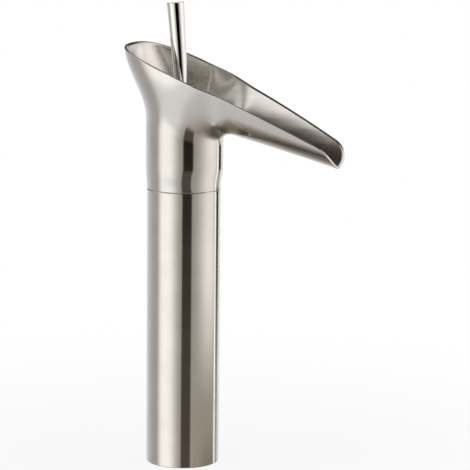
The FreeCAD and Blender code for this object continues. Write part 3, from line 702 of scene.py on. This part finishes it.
def head_rings(sizes):
    """Closed loops of points round the wall, one for each angle of a half turn.

    Gives also the numbers of the points at which the inner face starts and ends.
    """
    form = HeadForm(sizes)
    rays, crowding, outer_steps, inner_steps = 150, 0.8, 118, 96
    turn = np.linspace(0.0, math.pi, rays + 1)
    angles = turn - crowding * np.sin(turn)
    edge, joint, bore, bevel = sizes.edge_round, sizes.joint_height, sizes.collar_bore, sizes.bevel
    outer = form.paths(angles, joint, sizes.flare_height, 0.0, outer_steps, edge)
    keel_start = form.keel(sizes.column_radius) + sizes.rim_slope * sizes.column_radius
    inner = form.paths(angles, sizes.floor_height, keel_start + sizes.wall, sizes.wall, inner_steps, edge)
    outer_end, inner_end = outer[:, -1:], inner[:, -1:]
    across = inner_end - outer_end
    across = across / np.linalg.norm(across, axis=2, keepdims=True)
    top_outer, top_inner = outer_end + across * edge, inner_end - across * edge
    corner_out = bend(outer[:, -2:-1], outer_end, top_outer, 5)
    corner_in = bend(top_inner, inner_end, inner[:, -2:-1], 5)
    top = np.concatenate([top_outer + (top_inner - top_outer) * t for t in (0.0, 0.2, 0.5, 0.8, 1.0)], 1)

    def level_ring(radius, height):
        ring = np.stack([radius * np.cos(angles), radius * np.sin(angles), np.full(len(angles), height)], -1)
        return ring[:, None]

    climb = outer[:, 1:-1]
    above_bevel = climb[0, :, 2] > joint + 2.0 * bevel
    climb = climb[:, max(int(np.argmax(above_bevel)), 1):]
    low_rings = [level_ring(bore, joint), level_ring(sizes.column_radius - 1.5 * bevel, joint)]
    for part in (0.0, 0.5, 1.0):
        low_rings.append(level_ring(sizes.column_radius - bevel * (1 - part), joint + bevel * part))
    low_rings.append(level_ring(sizes.column_radius, joint + 1.5 * bevel))
    bore_top, bore_low = sizes.floor_height - 0.004, joint + 0.002
    inside_rings = [level_ring(bore, sizes.floor_height - edge)]
    inside_rings += [level_ring(bore, height) for height in np.linspace(bore_top, bore_low, 8)]
    outside = low_rings + [climb, corner_out, top, corner_in]
    loop = np.concatenate(outside + [inner[:, -2::-1]] + inside_rings, 1)
    start = sum(part.shape[1] for part in outside)
    return loop, start, start + inner.shape[1] - 1


def head_mesh(sizes):
    half, start, end = head_rings(sizes)
    mirrored = half[-2:0:-1] * np.array([1.0, -1.0, 1.0])
    loops = np.concatenate([half, mirrored], 0)
    around, along = loops.shape[:2]
    faces = grid_faces(around, along, closed_rows=True, closed_columns=True)
    made = mesh_object("head_casting", loops.reshape(-1, 3), faces)
    shade_smooth(made.data)
    inner = np.zeros((around, along))
    inner[:, start:end] = 1.0
    mark = made.data.attributes.new("inside", "FLOAT", "POINT")
    mark.data.foreach_set("value", inner.ravel())
    return made


# ---- Operators -------------------------------------------------------------------------------
class FAUCET_OT_head(bpy.types.Operator):
    """Builds the head casting and the drilled floor of its bowl"""
    bl_idname = "faucet.head"
    bl_label = "Head casting"

    def execute(self, context):
        sizes = context.scene.faucet_head
        settle(head_mesh(sizes), "root", "brushed_nickel", "spout_body")
        top, low = sizes.floor_height, sizes.floor_height - sizes.floor_depth
        neck = context.scene.faucet_lever.neck_radius + NECK_ROOM
        rooted = 0.0012  # how far the floor runs into the collar's wall
        half_groove, groove_depth, drill_reach = 0.0016, 0.003, 0.004
        rim, ring, bit = sizes.collar_bore + rooted, sizes.outlet_ring, sizes.outlet_radius
        groove_top = low + groove_depth
        profile = rounded([
            (neck, top, 0.0003), (rim, top, 0.0001), (rim, low, 0.0001),
            (ring + half_groove, low, 0.0001), (ring + half_groove, groove_top, 0.0001),
            (ring - half_groove, groove_top, 0.0001), (ring - half_groove, low, 0.0001),
            (neck, low, 0.0001),
        ], steps=3)
        plate = turned("bowl_floor", profile, 180)
        bit_profile = [(0.0, -drill_reach), (bit, -drill_reach), (bit, drill_reach), (0.0, drill_reach)]
        drill = turned("outlet_drill", bit_profile, 28)
        use_group(plate, drilled_group(), copies=sizes.outlets, ring_radius=ring,
                  first_turn=math.pi / sizes.outlets, height=top, cutter=drill)
        settle(plate, "root", "brushed_nickel", "spout_body")
        bpy.data.objects.remove(drill)
        return {"FINISHED"}


class FAUCET_OT_column(bpy.types.Operator):
    """Builds the column tube"""
    bl_idname = "faucet.column"
    bl_label = "Column"

    def execute(self, context):
        sizes = context.scene.faucet_head
        outside, top = sizes.column_radius, sizes.joint_height
        inside = outside - sizes.wall
        profile = rounded([
            (inside, 0.0, 0.0002), (outside, 0.0, 0.0005), (outside, top - sizes.bevel, 0.0001),
            (outside - sizes.bevel, top, 0.0001), (inside, top, 0.0001),
        ], steps=3)
        settle(turned("column", profile, 256), "root", "brushed_nickel", "column_tube")
        return {"FINISHED"}


class FAUCET_OT_dome(bpy.types.Operator):
    """Builds the dome over the cartridge and the ring nut below it"""
    bl_idname = "faucet.dome"
    bl_label = "Dome and ring nut"

    def execute(self, context):
        head, lever = context.scene.faucet_head, context.scene.faucet_lever
        pivot, radius = lever.pivot_height, lever.dome_radius
        foot = head.floor_height + lever.nut_height
        neck = lever.neck_radius + NECK_ROOM
        inside = radius - lever.dome_wall
        outer_start = math.asin(lever.dome_mouth / radius)
        inner_start = math.asin(lever.dome_mouth / inside)
        shelf = 0.001  # how far above the pivot the dome's inside meets the neck
        chamfer, chamfer_turn = 0.0003, 0.6
        inner_end = math.acos(shelf / inside)
        profile = (
            [(neck, foot), (radius - chamfer, foot), (radius, foot + chamfer)]
            + arc(pivot, radius, 90.0, math.degrees(outer_start) + chamfer_turn, 40)
            + [(lever.dome_mouth, pivot + radius * math.cos(outer_start) - chamfer)]
            + arc(pivot, inside, math.degrees(inner_start), math.degrees(inner_end), 30)
            + [(neck, pivot + shelf), (neck, foot)]
        )
        settle(turned("cartridge_dome", profile, 160), "root", "satin_nickel", "dome")
        outside = lever.nut_radius
        nut_profile = rounded([
            (neck, head.floor_height, 0.0001), (outside, head.floor_height, 0.0001),
            (outside, foot, 0.0004), (neck, foot, 0.0002),
        ], steps=4)
        nut = turned("ring_nut", nut_profile, 144)
        side, rise, notches = lever.notch / 2, lever.nut_height, 4
        corners = [(x, y, z) for x in (-side, side) for y in (-side, side) for z in (0.0, rise)]
        sides = [(0, 1, 3, 2), (4, 6, 7, 5), (0, 4, 5, 1), (2, 3, 7, 6), (0, 2, 6, 4), (1, 5, 7, 3)]
        notch = mesh_object("notch_cutter", corners, sides)
        use_group(nut, drilled_group(), copies=notches, ring_radius=outside, first_turn=math.pi / notches,
                  height=head.floor_height + rise / 2, cutter=notch)
        settle(nut, "root", "brass", "core_nut")
        bpy.data.objects.remove(notch)
        return {"FINISHED"}


class FAUCET_OT_lever(bpy.types.Operator):
    """Builds the handle rod and the cover that swings with it"""
    bl_idname = "faucet.lever"
    bl_label = "Handle and cover"
    chamfer = 0.0002

    def execute(self, context):
        sizes = context.scene.faucet_lever
        hub = sizes.cover_radius + sizes.hub_rise
        self.handle(sizes, hub)
        self.cover(sizes, hub)
        return {"FINISHED"}

    def handle(self, sizes, hub):
        """The tapered rod, bored for the spindle and drilled for its screw."""
        top = hub + sizes.handle_length
        foot, rim, soft = sizes.handle_foot, sizes.handle_top, sizes.handle_round
        shoulder = top - sizes.handle_crown - soft
        flank_start = hub + self.chamfer
        flank = [(foot + (rim - foot) * t, flank_start + (shoulder - flank_start) * t)
                 for t in (0.0, 0.01, 0.03, 0.1, 0.25, 0.4, 0.55, 0.7, 0.85, 0.95, 0.985)]
        bead = [(rim - soft + soft * math.cos(turn), shoulder + soft * math.sin(turn))
                for turn in np.linspace(0.0, math.pi / 2, 9)]
        crown = [((rim - soft) * t, top - sizes.handle_crown * t * t)
                 for t in (0.95, 0.85, 0.7, 0.5, 0.3, 0.15, 0.05, 0.0)]
        bore, bore_end = 0.00255, hub + 0.014
        hollow = [(0.0, bore_end), (bore, bore_end), (bore, hub), (foot - self.chamfer, hub)]
        profile = hollow + flank + bead + crown
        rod = turned("handle_rod_polished", profile, 160, sizes.lean, sizes.pivot_height)
        screw, drill_length, screw_height, drill_start = 0.0012, 0.012, 0.005, 0.0026
        bit_profile = [(0.0, 0.0), (screw, 0.0), (screw, drill_length), (0.0, drill_length)]
        drill = turned("screw_drill", bit_profile, 32)
        leaned = Matrix.Translation((0.0, 0.0, sizes.pivot_height)) @ Matrix.Rotation(-sizes.lean, 4, "Y")
        at_screw = Matrix.Translation((-drill_start, 0.0, hub + screw_height))
        drill.matrix_world = leaned @ at_screw @ Matrix.Rotation(-math.pi / 2, 4, "Y")
        cut = rod.modifiers.new("screw hole", "BOOLEAN")
        cut.operation = "DIFFERENCE"
        cut.solver = "EXACT"
        cut.object = drill
        bpy.context.view_layer.update()
        settle(rod, "lever", "polished_nickel", "handle_rod")
        bpy.data.objects.remove(drill)

    def cover(self, sizes, hub):
        """The round cap with a hub, open for the spindle."""
        foot, outside, inside = sizes.handle_foot, sizes.cover_radius, sizes.cover_radius - sizes.cover_wall
        spindle, hub_fillet = 0.00305, 0.0003
        lip, lip_start, lip_end = 0.00035, 0.8, 0.1  # a step in at the edge, between these degrees from it
        edge = math.degrees(sizes.cover_angle)
        hub_turn = math.degrees(math.asin((foot + hub_fillet) / outside))
        spindle_turn = math.degrees(math.asin(spindle / inside))
        underside = outside * math.cos(sizes.cover_angle)
        profile = (
            [(spindle, hub), (foot - self.chamfer, hub), (foot, hub - self.chamfer)]
            + arc(0.0, outside, hub_turn, edge - lip_start, 44)
            + arc(0.0, outside - lip, edge - lip_end, edge, 2)
            + [((inside + self.chamfer) * math.sin(sizes.cover_angle), underside)]
            + arc(0.0, inside, edge, spindle_turn, 36)
            + [(spindle, hub)]
        )
        cap = turned("lever_cover_cap", profile, 160, sizes.lean, sizes.pivot_height)
        settle(cap, "lever", "satin_nickel", "lever_cover")


class FAUCET_OT_inner(bpy.types.Operator):
    """Gives every solid that stays in view its finish"""
    bl_idname = "faucet.inner"
    bl_label = "Inner pieces"

    def execute(self, context):
        made = finishes(context.scene)
        slots = {part["node"]: part["material_slot"] for part in frame["record"]["subparts"]}
        for name, node in frame["nodes"].items():
            if node.hide_render:
                continue
            node.data.materials.clear()
            node.data.materials.append(made[slots[name]])
        return {"FINISHED"}


# ---- Studio ----------------------------------------------------------------------------------
def camera_axes(studio):
    """Right, up and forward of the camera, and its place."""
    turn = Vector((math.cos(studio.azimuth), math.sin(studio.azimuth), 0.0))
    away = Vector((-math.sin(studio.azimuth), math.cos(studio.azimuth), 0.0))
    rise = Vector((0.0, 0.0, 1.0))
    forward = away * math.cos(studio.pitch) - rise * math.sin(studio.pitch)
    level_up = away * math.sin(studio.pitch) + rise * math.cos(studio.pitch)
    right = turn * math.cos(studio.roll) + level_up * math.sin(studio.roll)
    up = level_up * math.cos(studio.roll) - turn * math.sin(studio.roll)
    target = turn * studio.target_across + rise * studio.target_height
    return right, up, forward, target - forward * studio.distance


def add_camera(scene):
    studio = scene.faucet_studio
    right, up, forward, place = camera_axes(studio)
    lens = bpy.data.cameras.new("camera")
    lens.sensor_fit = "HORIZONTAL"
    lens.sensor_width = 36.0
    lens.lens = lens.sensor_width * studio.focal_widths
    lens.clip_end = 60.0
    lens.dof.use_dof = False
    camera = bpy.data.objects.new("camera", lens)
    scene.collection.objects.link(camera)
    turn = Matrix((right, up, -forward)).transposed().to_4x4()
    camera.matrix_world = Matrix.Translation(place) @ turn
    scene.camera = camera


def bearing_from_camera(scene, x, y):
    """Degrees round the upright axis from the side that faces the camera, positive to its right."""
    front = scene.faucet_studio.azimuth - math.pi / 2
    ahead = x * math.cos(front) + y * math.sin(front)
    right = y * math.cos(front) - x * math.sin(front)
    return right.bearing(ahead) * (180 / math.pi)


def band(net, value, low, full, hold, end):
    """1 between two values, with a soft edge on each side."""
    return net.rise(value, low, full) * (1 - net.rise(value, hold, end))


def mixed_output(net, kind, share, first, second):
    net.node(kind, None, net.add("ShaderNodeMixShader", None, share, first, second))


def toward(value, goal, share):
    """A value moved by a share of the way to a goal."""
    return value + (goal - value) * share


def around_light(net, bearing, z, high):
    """Brightness of the room's sides: two soft boxes, a narrow lamp and dark gaps between them."""
    room = 0.92 - net.rise(bearing, -175.0, -100.0, 0.0, 0.44) * (1 - net.rise(bearing, -93.0, -60.0))
    room = toward(room, 0.44, band(net, bearing, -60.0, -20.0, 34.0, 80.0))
    left_box = band(net, bearing, -91.0, -64.0, -53.0, -5.0)
    room = toward(room, 1.31 - net.rise(z * -1, 0.27, 0.46) * 0.40, left_box)
    right_box = band(net, bearing, 34.0, 84.0, 94.0, 112.0)
    room = toward(room, 1.05, right_box)
    edge_lamp = band(net, bearing, 113.0, 116.0, 121.0, 124.5)
    room = toward(room, 1.50 - high * 0.50, edge_lamp)
    gap = band(net, bearing, 123.0, 126.0, 139.0, 143.0) * (1 - high)
    room = toward(room, net.rise(z, -0.26, -0.17, 0.5, 0.03), gap)
    far_left = band(net, bearing, -185.0, -160.0, -112.0, -88.0)
    return room * (1 - far_left * net.rise(z, -0.10, -0.078) * 0.85)


def upper_light(net, bearing, z, backdrop):
    """Brightness above eye level: a dim ceiling with a lit left, a lit right and a high soft box."""
    left = band(net, bearing, -150.0, -110.0, -85.0, -45.0)
    above = 0.40 - net.rise(z, 0.20, 0.29) * 0.32 + left * 0.38
    left_strip = band(net, bearing, -135.0, -105.0, -66.0, -50.0)
    above = above + left_strip * net.rise(z, 0.22, 0.36) * 0.42
    above = above + band(net, bearing, 15.0, 70.0, 121.0, 129.0)
    far_right = band(net, bearing, 124.0, 131.0, 150.0, 158.0)
    above = above * (1 - far_right * net.rise(z, 0.02, 0.15) * 0.75)
    above = toward(above, 1.0, backdrop)
    top_box = band(net, bearing, -92.0, -70.0, -30.0, 0.0) * net.rise(z, 0.50, 0.66)
    return toward(above, 1.32, top_box)


def studio_light(scene):
    """White room seen by the eye. Metal sees its soft boxes, a black flag and a dim ceiling.

    All is worked out from the direction looked in: its height z, from -1 to 1, and its bearing.
    """
    world = bpy.data.worlds.new("studio")
    world.use_nodes = True
    world.cycles.sampling_method = "NONE"
    scene.world = world
    net = Net(world.node_tree)
    x, y, z = net.split(net.add("ShaderNodeTexCoord", None, out="Generated"))
    bearing = bearing_from_camera(scene, x, y)
    high = net.rise(z, -0.135, -0.08)
    backdrop = (1 - band(net, bearing, -174.0, -155.0, 160.0, 172.0)) * (1 - net.rise(z, 0.26, 0.36))
    upper = net.rise(z, -0.02, 0.12)
    level = toward(around_light(net, bearing, z, high), upper_light(net, bearing, z, backdrop), upper)

    middle, lean = -0.174, 17.0  # the flag leans by these degrees for each 1 of z, about this z
    tilted = bearing - (z - middle) * lean
    flag_end = net.rise(tilted - high * 11.0, 25.0, 28.5 + high * 12.0)
    flag = net.rise(tilted + high * 7.0, -4.5, -2.5) * (1 - flag_end) * (1 - net.rise(z, 0.03, 0.13))
    level = toward(level, net.rise(z, -0.28, -0.10, 0.095, 0.0), flag)
    ground_light = (bearing * (math.pi / 180) + math.radians(75)).cos() * 0.30 + 0.42
    level = toward(level, ground_light, net.rise(z * -1, 0.55, 0.78))
    behind = 1 - band(net, bearing, -150.0, -120.0, 130.0, 160.0)
    level = level * (1 - behind * net.rise(z * -1, 0.30, 0.62) * 0.25)
    back_patch = band(net, bearing, -156.0, -143.0, -135.0, -124.0)
    level = level * (1 - back_patch * net.rise(z * -1, 0.68, 0.77) * 0.6)
    unlit = 0.45 + band(net, bearing, -170.0, -120.0, -20.0, 20.0) * 0.51
    level = level * (1 - net.rise(z, 0.772, 0.878) * unlit)

    warm = net.mix(net.rise(level, 0.0, 0.9), (1.0, 0.86, 0.74), (1.0, 0.995, 0.985))
    lit_side = net.rise(bearing, -120.0, -85.0) * (1 - net.rise(bearing, 135.0, 150.0))
    cool = (1 - lit_side) * net.rise(z, -0.45, -0.25)
    neutral = net.rise(z * -1, 0.20, 0.40) * (1 - net.rise(bearing, -40.0, 0.0)) * 0.45
    shown = net.scaled(net.mix(cool + neutral, warm, (0.985, 1.0, 1.065)), level)
    kinds = ("Camera", "Glossy", "Transmission")
    rays = net.node("ShaderNodeLightPath").outputs
    eye, glossy, through = (Value(net, rays[f"Is {kind} Ray"]) for kind in kinds)
    seen = eye + (glossy + through) * backdrop * upper
    white = net.add("ShaderNodeBackground", None, (1.0, 1.0, 1.0), 1.0)
    mirrored = net.add("ShaderNodeBackground", None, shown, 1.0)
    mixed_output(net, "ShaderNodeOutputWorld", seen, mirrored, white)


def add_right_box(scene):
    """Tall curved soft box near the faucet's right side, dimmer towards its foot.

    It is seen by the metal alone.
    """
    radius, low, high, across, upward = 0.25, -0.20, 0.52, 40, 24
    first_bearing, spread = 27.0, 88.0
    front = scene.faucet_studio.azimuth - math.pi / 2
    turns = [front + math.radians(first_bearing + spread * i / across) for i in range(across + 1)]
    points = [(radius * math.cos(turn), radius * math.sin(turn), low + (high - low) * k / upward)
              for k in range(upward + 1) for turn in turns]
    box = mesh_object("right_soft_box", points, grid_faces(upward + 1, across + 1))
    made, net = material("soft box cloth")
    x, y, height = net.split(object_place(net))
    bearing = bearing_from_camera(scene, x, y)
    middle = net.rise(bearing, 30.0, 84.0, 0.42, 1.05) * net.rise(bearing, 96.0, 112.0, 1.0, 0.72)
    upper = net.rise(bearing, 26.0, 80.0, 0.14, 1.2) * net.rise(bearing, 90.0, 116.0, 1.0, 0.84)
    level = toward(middle, upper, net.rise(height, 0.20, 0.26))
    dim = toward(net.rise(bearing, 40.0, 80.0, 0.34, 0.20), 0.40, net.rise(height, -0.09, -0.01))
    level = toward(dim, level, net.rise(height, -0.02, 0.085))
    tint = net.mix(net.rise(height, -0.06, 0.09), (1.06, 1.0, 0.83), (1.04, 1.0, 1.0))
    shown = net.scaled(tint, level)
    sides = band(net, bearing, 28.0, 36.0, 110.0, 114.0)
    ends = band(net, height, -0.19, -0.11, 0.36, 0.51)
    glow = net.add("ShaderNodeEmission", None, shown, 1.0)
    clear = net.add("ShaderNodeBsdfTransparent", None, (1.0, 1.0, 1.0))
    mixed_output(net, "ShaderNodeOutputMaterial", sides * ends, clear, glow)
    box.data.materials.append(made)
    box.visible_camera = box.visible_diffuse = box.visible_shadow = box.visible_transmission = False


def add_floor(scene):
    """Pale floor, seen by the eye with the faucet's shadow, and not mirrored in the metal."""
    studio = scene.faucet_studio
    side, rings, around = 3.0, 10, 48
    turns = [2 * math.pi * step / around for step in range(around)]
    reaches = [side * (ring / rings) ** 2 for ring in range(1, rings + 1)]
    points = [(reach * math.cos(turn), reach * math.sin(turn), 0.0) for reach in reaches for turn in turns]
    faces = [(0, 1 + step, 1 + (step + 1) % around) for step in range(around)]
    faces += grid_faces(rings, around, start=1, closed_columns=True)
    floor = mesh_object("floor", [(0.0, 0.0, 0.0)] + points, faces)
    made, net = material("pale floor")
    grain = noise(net, object_place(net), 420.0, 2.0)
    surface = net.add("ShaderNodeBsdfDiffuse", None, patches(net, grain, studio.floor_colour, 0.99, 1.01))
    white = net.add("ShaderNodeEmission", None, (1.0, 1.0, 1.0), 1.0)
    seen = Value(net, net.node("ShaderNodeLightPath").outputs["Is Camera Ray"])
    from_foot = net.add("ShaderNodeVectorMath", {"operation": "LENGTH"}, object_place(net), out="Value")
    share = net.rise(from_foot, 0.04, 0.45, 0.90, 1.0)
    mixed_output(net, "ShaderNodeOutputMaterial", seen * share, surface, white)
    floor.data.materials.append(made)
    floor.visible_glossy = False


def add_lamp(scene, name, place, size, watts):
    """A round lamp that shines at the faucet's middle and isn't mirrored in the metal."""
    middle = Vector((0.03, 0.0, 0.15))
    lamp = bpy.data.lights.new(name, "AREA")
    lamp.shape = "DISK"
    lamp.size = size
    lamp.energy = watts
    made = bpy.data.objects.new(name, lamp)
    scene.collection.objects.link(made)
    turn = (middle - Vector(place)).to_track_quat("-Z", "Y")
    made.matrix_world = Matrix.Translation(place) @ turn.to_matrix().to_4x4()
    made.visible_glossy = False


class FAUCET_OT_stage(bpy.types.Operator):
    """Sets up the camera, the floor and the light"""
    bl_idname = "faucet.stage"
    bl_label = "Studio"

    def execute(self, context):
        scene = context.scene
        scene.view_settings.view_transform = "Standard"
        add_camera(scene)
        studio_light(scene)
        add_right_box(scene)
        add_lamp(scene, "soft box", (-0.9, -1.1, 1.3), 0.9, 3.0)
        if scene.faucet_studio.show_floor:
            add_floor(scene)
        return {"FINISHED"}


class FAUCET_PT_panel(bpy.types.Panel):
    """Buttons and sizes in the sidebar"""
    bl_idname = "FAUCET_PT_panel"
    bl_label = "Waterfall faucet"
    bl_space_type = "VIEW_3D"
    bl_region_type = "UI"
    bl_category = "Faucet"

    def draw(self, context):
        for operator in OPERATORS:
            self.layout.operator(operator.bl_idname)
        for name, group in SETTINGS:
            box = self.layout.box()
            box.label(text=group.__doc__)
            values = getattr(context.scene, name)
            for key in group.__annotations__:
                box.prop(values, key)


OPERATORS = (
    FAUCET_OT_head, FAUCET_OT_column, FAUCET_OT_dome, FAUCET_OT_lever, FAUCET_OT_inner, FAUCET_OT_stage,
)
SETTINGS = (
    ("faucet_head", FaucetHeadSizes),
    ("faucet_lever", FaucetLeverSizes),
    ("faucet_finish", FaucetFinish),
    ("faucet_studio", FaucetStudio),
)


def register():
    for name, group in SETTINGS:
        bpy.utils.register_class(group)
        setattr(bpy.types.Scene, name, PointerProperty(type=group))
    for operator in OPERATORS:
        bpy.utils.register_class(operator)
    bpy.utils.register_class(FAUCET_PT_panel)


def unregister():
    bpy.utils.unregister_class(FAUCET_PT_panel)
    for operator in reversed(OPERATORS):
        bpy.utils.unregister_class(operator)
    for name, group in reversed(SETTINGS):
        delattr(bpy.types.Scene, name)
        bpy.utils.unregister_class(group)


def main():
    register()
    bpy.ops.faucet.head()
    bpy.ops.faucet.column()
    bpy.ops.faucet.dome()
    bpy.ops.faucet.lever()
    bpy.ops.faucet.inner()
    bpy.ops.faucet.stage()


if __name__ == "__main__":
    main()
